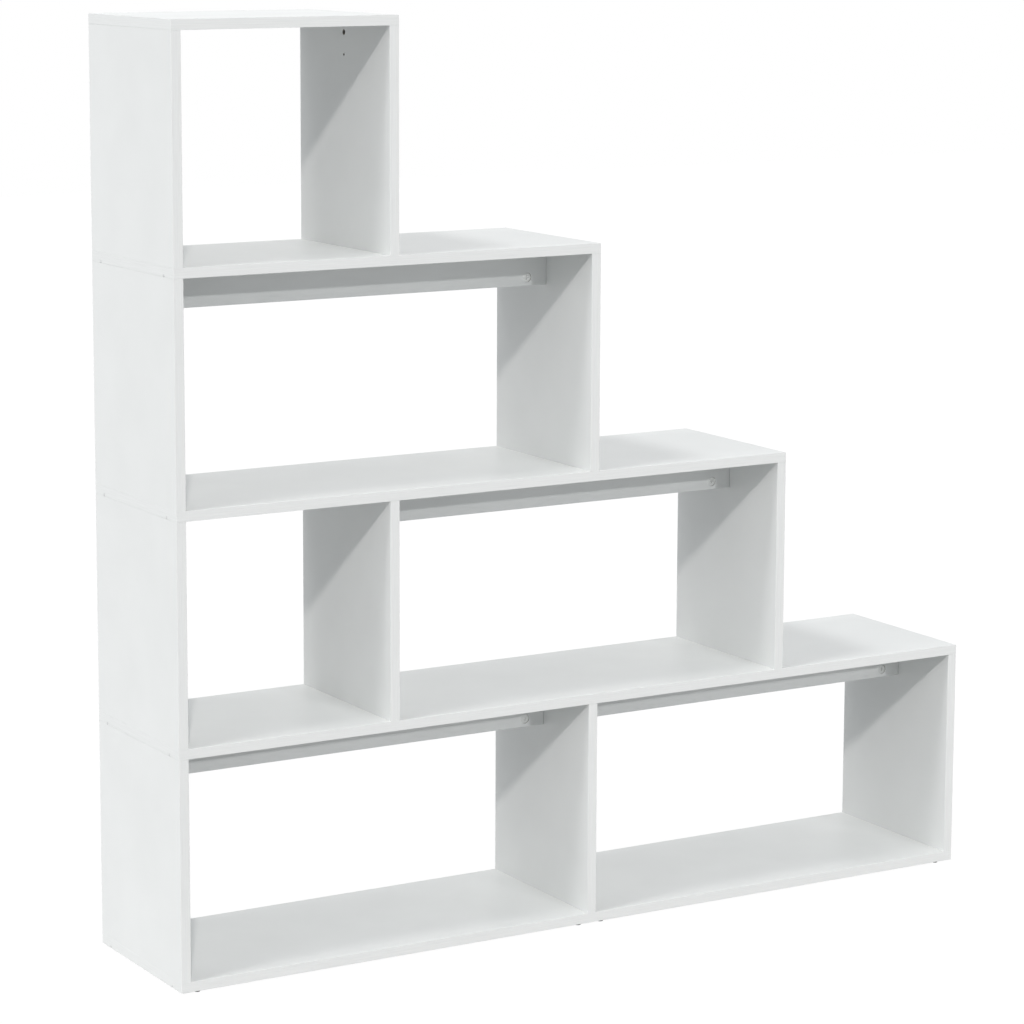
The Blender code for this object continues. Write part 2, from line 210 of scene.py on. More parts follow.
# %% The melamine faces
PEARL = 3.0 * MM
PEARL_DEPTH = 0.012 * MM
PAPER_CLOUD = 90.0 * MM


def white_melamine():
    made, tree, shader = finish_of("white_melamine_pearl", roughness=0.42)
    cloud = pattern(tree, PAPER_CLOUD)
    pearl = pattern(tree, PEARL, detail=3.0)
    dress(tree, shader, [(0.3, "#DDDFDE"), (0.7, "#E0E2E1")], cloud, PEARL_DEPTH, relief_by=pearl,
          roughness=(0.36, 0.48))
    return made


MELAMINE = white_melamine()
print("finish:", MELAMINE.name)

# %% [markdown]
# ### Edge bands
#
# The sawn edges are covered by a strip of white ABS, glued on hot and scraped flush. The eye gets a white
# close to the faces', a little glossier, with the scraper's fine lines along it. On Object coordinates
# those lines would run one way on every edge, so this pattern reads the panel's own UV map, which runs
# along each band. They are drawn about 1 mm wide, which is coarser than the real ones.

# %% The ABS bands
SCRAPE_WIDTH = 1.2 * MM
SCRAPE_LENGTH = 60.0 * MM
SCRAPE_DEPTH = 0.01 * MM


def abs_band():
    made, tree, shader = finish_of("abs_edge_band_scraped", roughness=0.36)
    lines = pattern(tree, SCRAPE_WIDTH, stretch=(SCRAPE_WIDTH / SCRAPE_LENGTH, 1.0, 1.0), coordinates="UV")
    dress(tree, shader, [(0.35, "#DBDDDC"), (0.65, "#E0E2E1")], lines, SCRAPE_DEPTH,
          roughness=(0.30, 0.42))
    return made


BAND_FINISH = abs_band()
print("finish:", BAND_FINISH.name)

# %% [markdown]
# ### Chipboard core
#
# Between the faces is chipboard: flakes of softwood, pressed with glue. The eye gets small dull flakes,
# each with its own tone. It shows only in drilled holes and on the raw ends that meet another panel.
# Noise would run the flakes into one another, and Voronoi cells keep them apart.

# %% The chipboard core
FLAKE = 2.2 * MM
FLAKE_DEPTH = 0.25 * MM


def chipboard():
    made, tree, shader = finish_of("chipboard_core", roughness=0.85)
    place = add_node(tree, "ShaderNodeTexCoord").outputs["Object"]
    flakes = add_node(tree, "ShaderNodeTexVoronoi", {"Vector": place, "Scale": 1 / FLAKE})
    tone = add_node(tree, "ShaderNodeSeparateColor", {0: flakes.outputs["Color"]}).outputs[0]
    dress(tree, shader, [(0.0, "#736E66"), (0.5, "#948F87"), (1.0, "#B0AAA1")], tone, FLAKE_DEPTH,
          relief_by=flakes.outputs["Distance"])
    return made


CORE = chipboard()
print("finish:", CORE.name)

# %% [markdown]
# ### Zinc and steel
#
# The cam locks are die-cast zinc, which looks dull and faintly mottled where the metal chilled against
# the mould. The screws and bolts are steel with a bright zinc plating, which is smoother and shows faint
# streaks along the wire that they were made from. Both are bare metal, so metallic is 1 and the colour is
# the metal's own. The streaks are drawn wider than real ones, which wouldn't show.

# %% The metal fittings' finishes
CAST_MOTTLE = 1.2 * MM
MOTTLE_DEPTH = 0.02 * MM
PLATE_STREAK = 0.8 * MM
STREAK_STRETCH = 0.2
STREAK_DEPTH = 0.006 * MM


def cast_zinc():
    made, tree, shader = finish_of("die_cast_zinc", roughness=0.45, metallic=1.0)
    mottle = pattern(tree, CAST_MOTTLE, detail=4.0)
    dress(tree, shader, [(0.3, "#CFD1D1"), (0.7, "#DFE0DE")], mottle, MOTTLE_DEPTH, roughness=(0.38, 0.55))
    return made


def plated_steel():
    made, tree, shader = finish_of("bright_zinc_plated_steel", roughness=0.3, metallic=1.0)
    streak = pattern(tree, PLATE_STREAK, detail=3.0, stretch=(1.0, 1.0, STREAK_STRETCH))
    dress(tree, shader, [(0.3, "#CCCFD1"), (0.7, "#DCDDDC")], streak, STREAK_DEPTH, roughness=(0.24, 0.38))
    return made


ZINC, STEEL = cast_zinc(), plated_steel()
print("finishes:", ZINC.name, "and", STEEL.name)

# %% [markdown]
# ### Beech and polyethylene
#
# Dowels are beech, turned and fluted. Its rays show as short dark flecks along the grain, so their noise
# is drawn out along the dowel's UV map. The glides are moulded from black polyethylene, whose skin is
# finely matt because the mould was spark-eroded. That grain is drawn a little coarser than it is.

# %% The dowels' and glides' finishes
RAY_LENGTH = 2.5 * MM
RAY_WIDTH = 0.35 * MM
RAY_DEPTH = 0.04 * MM
SPARK_GRAIN = 0.5 * MM
SPARK_DEPTH = 0.03 * MM


def beech():
    made, tree, shader = finish_of("beech_dowel_wood", roughness=0.6)
    rays = pattern(tree, RAY_WIDTH, stretch=(RAY_WIDTH / RAY_LENGTH, 1.0, 1.0), coordinates="UV")
    dress(tree, shader, [(0.38, "#B98A5C"), (0.5, "#D6B184"), (0.7, "#DEBD92")], rays, RAY_DEPTH)
    return made


def black_plastic():
    made, tree, shader = finish_of("black_polyethylene", roughness=0.5)
    skin = pattern(tree, SPARK_GRAIN)
    dress(tree, shader, [(0.3, "#1B1C1D"), (0.7, "#232425")], skin, SPARK_DEPTH, roughness=(0.42, 0.58))
    return made


BEECH, POLYETHYLENE = beech(), black_plastic()
print("finishes:", BEECH.name, "and", POLYETHYLENE.name)

# %% [markdown]
# ## Panels
#
# A panel is a slab with finely rounded edges, a band glued along each sawn edge, and drilled holes.
# A Bevel modifier could round it, but the bands are cut in after the rounding, so bmesh does both. Cuts
# across the slab 0.8 mm in from each banded edge give the band's own faces, which take the band's
# material. An end that another panel covers stays raw: it shows chipboard within a thin rim, which is
# the cut edge of the melamine. A side of a panel is named by its axis and by which end of it is meant.

# %% Slabs with edge bands
EDGE_ROUND = 0.3 * MM
ROUND_STEPS = 4
CIRCLE_PROFILE = 0.5
BAND = 0.8 * MM
RIM = 0.6 * MM
FACE_SLOT, BAND_SLOT, CORE_SLOT = range(3)
AXES = (Vector((1, 0, 0)), Vector((0, 1, 0)), Vector((0, 0, 1)))
LEFT, RIGHT, FRONT, BACK, BOTTOM, TOP = ((axis, side) for axis in range(3) for side in range(2))


def main_axis(direction):
    """The number of the axis that a direction follows most."""
    return max(range(3), key=lambda axis: abs(direction[axis]))


def bar(bm, low, high):
    """Adds a plain box between two corners."""
    low, high = Vector(low), Vector(high)
    bmesh.ops.create_cube(bm, size=1.0, matrix=Matrix.Translation((low + high) / 2)
                          @ Matrix.Diagonal(high - low).to_4x4())


def slab(low, high, rounded):
    """A box whose edges along the given axes are rounded."""
    bm = bmesh.new()
    bar(bm, low, high)
    edges = [edge for edge in bm.edges if main_axis(edge.verts[1].co - edge.verts[0].co) in rounded]
    bmesh.ops.bevel(bm, geom=edges, offset=EDGE_ROUND, segments=ROUND_STEPS, profile=CIRCLE_PROFILE,
                    affect="EDGES")
    return bm


def band_edges(bm, low, high, banded, raw):
    """Gives the faces at banded sides the band's material, and the raw ends' middles the core's."""
    for axis, side in banded:
        at = (low, high)[side][axis] + (BAND, -BAND)[side]
        bmesh.ops.bisect_plane(bm, geom=bm.verts[:] + bm.edges[:] + bm.faces[:],
                               plane_co=AXES[axis] * at, plane_no=AXES[axis])
    for face in bm.faces:
        centre = face.calc_center_median()
        on_band = any(abs(centre[axis] - (low, high)[side][axis]) < BAND for axis, side in banded)
        face.material_index = BAND_SLOT if on_band else FACE_SLOT
    for axis, side in raw:
        outwards = AXES[axis] * (-1, 1)[side]
        end = max(bm.faces, key=lambda face: face.normal.dot(outwards) * face.calc_area())
        bmesh.ops.inset_region(bm, faces=[end], thickness=RIM, use_even_offset=True)
        end.material_index = CORE_SLOT


trial = slab(*board_box["top_board"], rounded=(0, 1, 2))
print("a slab has", len(trial.faces), "faces before it is banded and drilled")
trial.free()

# %% [markdown]
# Blender could unwrap each panel by itself, but a band's lines have to run along the band. So the UV map
# is laid straight from the points' places, in metres, with its first direction along the longer way.

# %% Objects and their UV maps
def as_object(bm, name, *finishes):
    """Turns a bmesh into an object at the origin with the given materials."""
    mesh = bpy.data.meshes.new(name)
    bm.to_mesh(mesh)
    bm.free()
    for item in finishes:
        mesh.materials.append(item)
    made = bpy.data.objects.new(name, mesh)
    bpy.context.scene.collection.objects.link(made)
    return made


def lay_uv(mesh):
    """A UV map in metres, which runs along the longer way of each face's plane through the panel."""
    size = [max(spread) - min(spread) for spread in zip(*(vertex.co for vertex in mesh.vertices))]
    layer = mesh.uv_layers.new(name="along")
    for face in mesh.polygons:
        across = main_axis(face.normal)
        u, v = sorted((axis for axis in range(3) if axis != across), key=lambda axis: -size[axis])
        for corner in face.loop_indices:
            point = mesh.vertices[mesh.loops[corner].vertex_index].co
            layer.data[corner].uv = (point[u], point[v])


print("a panel's materials:", [item.name for item in (MELAMINE, BAND_FINISH, CORE)])

# %% [markdown]
# ### Holes
#
# Rings of edges could be cut into a panel for each hole, which gives tidy faces but has to be worked out
# hole by hole. An exact Boolean takes a hole as a drilling plan gives it: a point, a direction, a
# diameter and a depth. A cutter starts a little outside the panel. All the cutters of a panel are
# gathered in one object, and the Boolean may cross them with each other, as a screw's seat and its
# clearance hole do. They carry the core's material, so a hole's wall shows chipboard. Then the modifier
# is baked: its result becomes the object's own mesh.

# %% Drilling
HOLE_STEPS = 48
OVERSHOOT = 5.0 * MM
UP, DOWN = (0.0, 0.0, 1.0), (0.0, 0.0, -1.0)
FORWARD, BACKWARD = (0.0, -1.0, 0.0), (0.0, 1.0, 0.0)


def prism(bm, sides, radius, depth, place=Matrix.Identity(4)):
    """Adds a prism along its own Z. With many sides it is a cylinder."""
    bmesh.ops.create_cone(bm, cap_ends=True, segments=sides, radius1=radius, radius2=radius, depth=depth,
                          matrix=place)


def drill(bm, start, along, diameter, depth):
    """Adds a cutter that enters at the start point and goes along a direction to a depth."""
    along = Vector(along).normalized()
    turn = along.to_track_quat("Z", "Y").to_matrix().to_4x4()
    centre = Vector(start) + along * (depth - OVERSHOOT) / 2
    prism(bm, HOLE_STEPS, diameter / 2, depth + OVERSHOOT, Matrix.Translation(centre) @ turn)


def bake(item):
    """Applies an object's modifiers, which leaves it a new plain mesh."""
    bpy.context.view_layer.update()
    graph = bpy.context.evaluated_depsgraph_get()
    shape = bpy.data.meshes.new_from_object(item.evaluated_get(graph))
    item.modifiers.clear()
    item.data = shape


def cut(body, cutters):
    """Cuts the cutters out of the body."""
    tool = as_object(cutters, "drill_bits", CORE)
    boolean = body.modifiers.new("holes", "BOOLEAN")
    boolean.object = tool
    boolean.solver = "EXACT"
    boolean.use_self = True
    boolean.material_mode = "TRANSFER"
    bake(body)
    bpy.data.objects.remove(tool)


print("holes have", HOLE_STEPS, "sides")

# %% [markdown]
# ### Finishing a piece
#
# Every piece ends the same way. It is shaded smooth, but for edges sharper than 30 degrees, with weighted
# normals: the wide flat faces lead, so only the narrow roundings bend the light. Extra loops of edges
# beside each rounding would do that too, with many more faces. Then the piece rides on the bookcase, and
# the imported nodes that it stands for are hidden. Boards, uprights and rails differ
# only in their corners, bands, raw ends and holes, so one function makes them all.

# %% Finishing
SHARP = math.radians(30.0)


def finished(body, name, nodes):
    """Smooths a piece, lets it ride on the bookcase and hides the nodes that it stands for."""
    body.data.shade_smooth()
    body.data.set_sharp_from_angle(angle=SHARP)
    weighted = body.modifiers.new("flat_faces_lead", "WEIGHTED_NORMAL")
    weighted.keep_sharp = True
    bake(body)
    body.name = name
    body.data.name = name
    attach(body, "root")
    if nodes:
        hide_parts(*nodes)
    return body


def make_panel(node, low, high, bits, banded, raw=(), rounded=(0, 1, 2)):
    """Makes a panel between two corners, with its bands, its raw ends and the holes that the bits cut."""
    bm = slab(low, high, rounded)
    band_edges(bm, low, high, banded, raw)
    body = as_object(bm, node, MELAMINE, BAND_FINISH, CORE)
    cut(body, bits)
    lay_uv(body.data)
    body = finished(body, f"panel_{node}", [node])
    print(body.name, "has", len(body.data.polygons), "faces")


print("edges sharper than", round(math.degrees(SHARP)), "degrees stay sharp")

# %% [markdown]
# ## The fittings' sizes and places
#
# Screws, dowels, bolts and cam locks are bought parts, so their sizes are the usual ones of the trade,
# and holes in a pair are 32 mm apart. A hole is wider than what goes into it by the clearance that a
# maker would drill: a quarter of a millimetre all round, and less for the screw's seat and the drum's
# pocket, whose gaps show. Only a bolt's thread bites into a narrower pilot hole.

# %% Sizes of the fittings
FIT = 0.25 * MM
SEAT_CLEAR = 0.15 * MM
POCKET_CLEAR = 0.12 * MM
SHANK_D = 6.0 * MM
HEAD_HEIGHT = 3.4 * MM
DOWEL_D = 7.5 * MM
DOWEL_REACH = 10.5 * MM
DOWEL_ROOT = 19.5 * MM
DOWEL_FROM_SCREW = 32.0 * MM
RAIL_HOLE_SPACING = 32.0 * MM
CAM_D = 14.5 * MM
CAM_FROM_FACE = 34.0 * MM
BOLT_STEM_D = 7.5 * MM
BOLT_THREAD_D = 4.5 * MM
BOLT_PILOT_D = 4.0 * MM
PIN_D = 2.5 * MM
screw_low, screw_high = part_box(SCREWS[0])
HEAD_D = screw_high.x - screw_low.x
SCREW_LENGTH = screw_high.z - screw_low.z
lock_low, lock_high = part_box(LOCKS[0])
CAM_DEPTH = lock_high.y - lock_low.y
print("screw head", round(HEAD_D / MM, 1), "mm wide, screw", round(SCREW_LENGTH / MM, 1),
      "mm long, drum", round(CAM_DEPTH / MM, 1), "mm deep")

# %% [markdown]
# Each fitting's node gives its place: a screw's box is centred on its axis, and a cam lock's drum is at
# the end of its box that lies away from the rail's end. The holes in the panels are worked out from the
# same places, so a fitting and its hole can't part.

# %% Places of the fittings
def drum_middle(name):
    """The middle of a cam lock's drum, on the bolt's axis. Odd locks are at a rail's left end."""
    low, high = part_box(name)
    at_left = int(name.split("_")[-1]) % 2 == 1
    x = high.x - CAM_D / 2 if at_left else low.x + CAM_D / 2
    return Vector((x, (low.y + high.y) / 2, (low.z + high.z) / 2)), at_left


SCREW_YS = sorted(middle(name).y for name in SCREWS[:2])
DOWEL_YS = (SCREW_YS[0] + DOWEL_FROM_SCREW, SCREW_YS[1] - DOWEL_FROM_SCREW)
rail_axis = middle(RAILS[0]).y
BOLT_BELOW_SHELF = board_box["shelf_1"][0].z - drum_middle(LOCKS[0])[0].z


def bolt_height(row):
    """Height of the cam bolts under the board above a row."""
    return board_box[BOARDS[row + 1]][0].z - BOLT_BELOW_SHELF


print("screws at y", [round(value / MM, 1) for value in SCREW_YS], "dowels at y",
      [round(value / MM, 1) for value in DOWEL_YS])

# %% [markdown]
# ## Boards
#
# A board has a screw seat in its underside under each upright that stands on it, a blind dowel hole
# over each upright that carries it, and the bottom board also takes the pins of the glides. A screw's
# head is as wide as the panel is thick, so its seat just breaks through the board's end. That is why
# two small marks show at each level on the sides of the bookcase. They could be painted on, but real
# holes catch the light by themselves.

# %% Make the boards
def board_bits(number, bottom):
    """The cutters for a board's screws, dowels and glide pins, which all come from below."""
    bits = bmesh.new()
    for screw in SCREWS:
        if row_of(screw) == number:
            x, y, _ = middle(screw)
            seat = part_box(screw)[0].z + HEAD_HEIGHT + SEAT_CLEAR - bottom
            drill(bits, (x, y, bottom), UP, HEAD_D + 2 * SEAT_CLEAR, seat)
            drill(bits, (x, y, bottom), UP, SHANK_D + 2 * FIT, PANEL + OVERSHOOT)
    for upright in UPRIGHTS:
        if row_of(upright) == number - 1:
            for y in DOWEL_YS:
                drill(bits, (middle(upright).x, y, bottom), UP, DOWEL_D + 2 * FIT, DOWEL_REACH + FIT)
    if number == 0:
        for glide in GLIDES:
            x, y, _ = middle(glide)
            drill(bits, (x, y, bottom), UP, PIN_D + 2 * FIT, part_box(glide)[1].z - bottom + FIT)
    return bits


for number, node in enumerate(BOARDS):
    low, high = board_box[node]
    make_panel(node, low, high, board_bits(number, low.z), banded=(LEFT, RIGHT, FRONT, BACK))

# %% [markdown]
# ## Uprights
#
# An upright is banded at its front and back, and its sawn top and bottom ends stay raw, because a
# board covers them. Every upright is drilled for a rail, also where none comes, because one drilling
# serves them all, and so two spare holes show in the right upright of the top row. Only the upright that
# two rails meet is drilled right through. A hair's gap is left at each end, where two faces in the same
# plane would else flicker.

# %% Make the uprights
SEAM = 0.03 * MM


def upright_bits(node, low, high):
    """The cutters for an upright's screws, dowels and rails."""
    bits = bmesh.new()
    x = (low.x + high.x) / 2
    for y in SCREW_YS:
        drill(bits, (x, y, low.z), UP, SHANK_D + 2 * FIT, SCREW_LENGTH - PANEL + FIT)
    for y in DOWEL_YS:
        drill(bits, (x, y, high.z), DOWN, DOWEL_D + FIT, DOWEL_ROOT + FIT)
    row = row_of(node)
    # Without a rail, the holes are on the face that looks into the row.
    sides = rail_faces(node) or [1 if node == stands(row)[0] else -1]
    through = len(sides) > 1
    depth = PANEL + OVERSHOOT if through else DOWEL_REACH + FIT
    bolt_hole = BOLT_THREAD_D + 2 * FIT if through else BOLT_PILOT_D
    bolt_z = bolt_height(row)
    for diameter, z in ((DOWEL_D + 2 * FIT, bolt_z + RAIL_HOLE_SPACING), (bolt_hole, bolt_z)):
        face = Vector((x + sides[0] * PANEL / 2, rail_axis, z))
        drill(bits, face, (-sides[0], 0, 0), diameter, depth)
    return bits


for node in UPRIGHTS:
    low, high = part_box(node)
    low.z = board_box[BOARDS[row_of(node)]][1].z + SEAM
    high.z = board_box[BOARDS[row_of(node) + 1]][0].z - SEAM
    make_panel(node, low, high, upright_bits(node, low, high), banded=(FRONT, BACK), raw=(BOTTOM, TOP),
               rounded=(2,))

# %% [markdown]
# ## Rails
#
# A rail hangs in the middle of the depth, under the shelf, between two uprights. Each end is bored for
# a dowel and, 32 mm below it, for a cam bolt. The lock's round pocket is bored from the front. Only the
# lower edge shows, so it alone is banded. With so little in sight a plain box would nearly do, but the
# thin ring round each lock shows, and it takes a real pocket to make it.

# %% Make the rails
RAIL_GAP = 0.3 * MM


def rail_bits(node, low, high):
    """The cutters for a rail's bolts, dowels and cam locks."""
    bits = bmesh.new()
    bolt_z = bolt_height(row_of(node))
    for x, inward in ((low.x, 1), (high.x, -1)):
        drill(bits, (x, rail_axis, bolt_z), (inward, 0, 0), BOLT_STEM_D + 2 * FIT, CAM_FROM_FACE)
        drill(bits, (x, rail_axis, bolt_z + RAIL_HOLE_SPACING), (inward, 0, 0), DOWEL_D + 2 * FIT,
              DOWEL_ROOT + FIT)
        drum = (x + inward * (CAM_FROM_FACE - RAIL_GAP), low.y, bolt_z)
        drill(bits, drum, BACKWARD, CAM_D + 2 * POCKET_CLEAR, lock_high.y - low.y + FIT)
    return bits


for node in RAILS:
    low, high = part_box(node)
    left, right = (middle(upright).x for upright in uprights_at(node))
    low.x, high.x = left + PANEL / 2 + RAIL_GAP, right - PANEL / 2 - RAIL_GAP
    high.z = board_box[BOARDS[row_of(node) + 1]][0].z - SEAM
    make_panel(node, low, high, rail_bits(node, low, high), banded=(BOTTOM,), raw=(LEFT, RIGHT, TOP),
               rounded=(0, 2))

# %% [markdown]
# ## Turned fittings
#
# Screws, bolts, dowels, cam drums and glides are all round, so one Geometry Nodes tree turns them all.
# A Screw modifier could spin their cross-section too, but it can't sink a thread or flutes. Each tree
# starts with its named inputs, and small functions add the arithmetic and read named values.

# %% Helpers for Geometry Nodes
def new_tree(name, output, inputs):
    """A tree with a geometry output and named inputs, each with its kind of socket and its default."""
    tree = bpy.data.node_groups.new(name, "GeometryNodeTree")
    for title, (kind, value) in inputs.items():
        socket = tree.interface.new_socket(title, in_out="INPUT", socket_type="NodeSocket" + kind)
        if value is not None:
            socket.default_value = value
    tree.interface.new_socket(output, in_out="OUTPUT", socket_type="NodeSocketGeometry")
    return tree, add_node(tree, "NodeGroupInput").outputs


def maths(tree, operation, first, second=0.0):
    """One step of arithmetic."""
    return add_node(tree, "ShaderNodeMath", {0: first, 1: second}, operation=operation).outputs[0]


def named_value(tree, name, kind="FLOAT"):
    """What each point holds under a name."""
    return add_node(tree, "GeometryNodeInputNamedAttribute", {"Name": name}, data_type=kind).outputs[0]


def profile_value(tree, given, row, value, kind="FLOAT"):
    """What the profile's point of a row holds."""
    return add_node(tree, "GeometryNodeSampleIndex", {"Geometry": given["Profile"], "Value": value,
                                                      "Index": row}, data_type=kind).outputs[0]


print("helpers:", [item.__name__ for item in (new_tree, maths, named_value, profile_value)])

# %% [markdown]
# The tree's main input is half a cross-section: a chain of points, with the radius in x and the height
# in z. A grid with one row for each point of the chain is wrapped round the axis, and its surface is
# then sunk where the points ask for it. A thread is a V that climbs by one pitch in each turn. Flutes
# are hollows side by side along the axis. The grid's ends meet, and Merge by Distance closes the seam
# and the poles.

# %% A tree that turns a profile
WELD = 0.001 * MM


def thread_groove(tree, given, row, angle, height):
    """How deep the thread is cut at a point."""
    turns = maths(tree, "SUBTRACT", maths(tree, "DIVIDE", height, given["Thread Pitch"]),
                  maths(tree, "DIVIDE", angle, math.tau))
    wave = maths(tree, "PINGPONG", maths(tree, "MULTIPLY", turns, 2.0), 1.0)
    share = profile_value(tree, given, row, named_value(tree, "thread"))
    return maths(tree, "MULTIPLY", maths(tree, "MULTIPLY", wave, share), given["Thread Depth"])


def flute_hollow(tree, given, row, angle):
    """How deep a flute is at a point."""
    half_turns = maths(tree, "MULTIPLY", angle, maths(tree, "DIVIDE", given["Flutes"], 2.0))
    ridge = maths(tree, "ABSOLUTE", maths(tree, "SINE", half_turns))
    share = profile_value(tree, given, row, named_value(tree, "flute"))
    hollow = maths(tree, "MULTIPLY", maths(tree, "SUBTRACT", 1.0, ridge), share)
    return maths(tree, "MULTIPLY", hollow, given["Flute Depth"])


def turning_tree():
    tree, given = new_tree("turn_a_profile", "Turned", {
        "Profile": ("Geometry", None), "Steps Around": ("Int", 32), "Thread Pitch": ("Float", 1.0),
        "Thread Depth": ("Float", 0.0), "Flutes": ("Int", 0), "Flute Depth": ("Float", 0.0)})
    rows = add_node(tree, "GeometryNodeAttributeDomainSize", {0: given["Profile"]}).outputs["Point Count"]
    columns = maths(tree, "ADD", given["Steps Around"], 1.0)
    grid = add_node(tree, "GeometryNodeMeshGrid", {"Vertices X": columns, "Vertices Y": rows})
    index = add_node(tree, "GeometryNodeInputIndex").outputs[0]
    row = maths(tree, "MODULO", index, rows)
    column = maths(tree, "FLOOR", maths(tree, "DIVIDE", index, rows))
    angle = maths(tree, "DIVIDE", maths(tree, "MULTIPLY", column, math.tau), given["Steps Around"])
    position = add_node(tree, "GeometryNodeInputPosition").outputs[0]
    spot = profile_value(tree, given, row, position, "FLOAT_VECTOR")
    spot = add_node(tree, "ShaderNodeSeparateXYZ", {0: spot}).outputs
    radius = maths(tree, "SUBTRACT", spot["X"], thread_groove(tree, given, row, angle, spot["Z"]))
    radius = maths(tree, "SUBTRACT", radius, flute_hollow(tree, given, row, angle))
    wrapped = add_node(tree, "ShaderNodeCombineXYZ", {
        "X": maths(tree, "MULTIPLY", radius, maths(tree, "COSINE", angle)),
        "Y": maths(tree, "MULTIPLY", radius, maths(tree, "SINE", angle)), "Z": spot["Z"]}).outputs[0]
    bent = add_node(tree, "GeometryNodeSetPosition", {"Geometry": grid.outputs["Mesh"], "Position": wrapped})
    closed = add_node(tree, "GeometryNodeMergeByDistance", {"Geometry": bent.outputs[0], "Distance": WELD})
    add_node(tree, "NodeGroupOutput", {0: closed.outputs[0]})
    return tree


TURNING = turning_tree()
print(TURNING.name, "has", len(TURNING.nodes), "nodes")

# %% [markdown]
# To use a tree, an object gets it as a modifier, whose inputs are set by each socket's identifier,
# because names aren't unique in Blender. The result is then baked to a plain mesh. The faces of a turned
# piece are pointed outwards afterwards, since a wrapped grid may come out inside out.

# %% Turn one piece
def run_tree(name, mesh, tree, **values):
    """An object with what a tree makes of a mesh. An input's name has underscores for its spaces."""
    item = bpy.data.objects.new(name, mesh)
    bpy.context.scene.collection.objects.link(item)
    modifier = item.modifiers.new(tree.name, "NODES")
    modifier.node_group = tree
    sockets = {socket.name: socket.identifier for socket in tree.interface.items_tree
               if socket.in_out == "INPUT"}
    for title, value in values.items():
        modifier[sockets[title.replace("_", " ")]] = value
    bake(item)
    return item


def add_values(mesh, name, kind, values):
    """Gives each point of a mesh its value under a name."""
    layer = mesh.attributes.new(name, kind, "POINT")
    layer.data.foreach_set("vector" if kind == "FLOAT_VECTOR" else "value", values)


def turned(name, profile, **sizes):
    """One closed turned piece. A profile point is (radius, height) or (radius, height, thread, flute)."""
    points = [(*point, 0.0, 0.0)[:4] for point in profile]
    mesh = bpy.data.meshes.new(name)
    mesh.from_pydata([(radius, 0.0, height) for radius, height, _, _ in points],
                     [(step, step + 1) for step in range(len(points) - 1)], [])
    add_values(mesh, "thread", "FLOAT", [point[2] for point in points])
    add_values(mesh, "flute", "FLOAT", [point[3] for point in points])
    item = run_tree(name, mesh, TURNING, **sizes)
    bm = bmesh.new()
    bm.from_mesh(item.data)
    bmesh.ops.recalc_face_normals(bm, faces=bm.faces)
    bm.to_mesh(item.data)
    bm.free()
    return item


print("sizes to turn by:", [socket.name for socket in TURNING.interface.items_tree
                            if socket.in_out == "INPUT"][1:])

# %% [markdown]
# ### Setting out copies
#
# Most fittings come in numbers. A loop could copy each by hand, but a second tree shows what differs
# from copy to copy: each point holds the way that the piece's axis looks and a turn about it, and a
# random extra turn is added for screws and dowels, which nobody lines up. Instances are light to
# handle, but an exported model loses them, so Realize Instances makes them real.

# %% A tree that sets out copies
def setting_tree():
    tree, given = new_tree("set_out_pieces", "Pieces", {
        "Places": ("Geometry", None), "Piece": ("Object", None), "Finish": ("Material", None),
        "Loose Turn": ("Float", 0.0), "Seed": ("Int", 1)})
    loose = add_node(tree, "FunctionNodeRandomValue", {"Max": given["Loose Turn"], "Seed": given["Seed"]})
    extra = next(item for item in loose.outputs if item.enabled)
    turn = maths(tree, "ADD", named_value(tree, "turn"), extra)
    about = add_node(tree, "ShaderNodeCombineXYZ", {"Z": turn}).outputs[0]
    spin = add_node(tree, "FunctionNodeEulerToRotation", {0: about}).outputs[0]
    aimed = add_node(tree, "FunctionNodeAlignRotationToVector", {
        "Rotation": spin, "Vector": named_value(tree, "axis", "FLOAT_VECTOR")}, axis="Z")
    piece = add_node(tree, "GeometryNodeObjectInfo", {"Object": given["Piece"]})
    copies = add_node(tree, "GeometryNodeInstanceOnPoints", {
        "Points": given["Places"], "Instance": piece.outputs["Geometry"], "Rotation": aimed.outputs[0]})
    real = add_node(tree, "GeometryNodeRealizeInstances", {0: copies.outputs[0]})
    dressed = add_node(tree, "GeometryNodeSetMaterial", {"Geometry": real.outputs[0],
                                                         "Material": given["Finish"]})
    add_node(tree, "NodeGroupOutput", {0: dressed.outputs[0]})
    return tree


SETTING = setting_tree()
print(SETTING.name, "has", len(SETTING.nodes), "nodes")

# %% [markdown]
# The places of a kind of fitting become the points of a mesh, with the axis and the turn as values on
# them. Its copies could be pieces of their own, but none of them moves by itself, so they come back as
# one piece, which is lighter to handle. The seed is fixed, so that every run gives the same turns.

# %% Set out one kind of fitting
TURN_SEED = 7


def set_out(name, piece, finish, places, nodes=(), loose_turn=0.0):
    """Sets out copies of a piece at places of (point, axis, turn), as one plain, finished piece."""
    mesh = bpy.data.meshes.new(name)
    mesh.from_pydata([point for point, _, _ in places], [], [])
    add_values(mesh, "axis", "FLOAT_VECTOR", [part for _, axis, _ in places for part in axis])
    add_values(mesh, "turn", "FLOAT", [turn for _, _, turn in places])
    item = run_tree(name, mesh, SETTING, Piece=piece, Finish=finish, Loose_Turn=loose_turn, Seed=TURN_SEED)
    bpy.data.objects.remove(piece)
    item = finished(item, name, nodes)
    print(len(places), "x", item.name + ",", len(item.data.polygons), "faces")


print("random turns have the seed", TURN_SEED)

# %% [markdown]
# ### Screws
#
# Twenty flat-headed screws come up through the boards into the uprights' ends. The head is a disc with
# a hexagon socket, and the shank carries a coarse chipboard thread from the joint up to a cone tip. A
# helix of separate faces round a rod would be a truer thread, but it would leave seams, so the profile
# has six rows of faces to each pitch, and the tree sinks the thread into them.

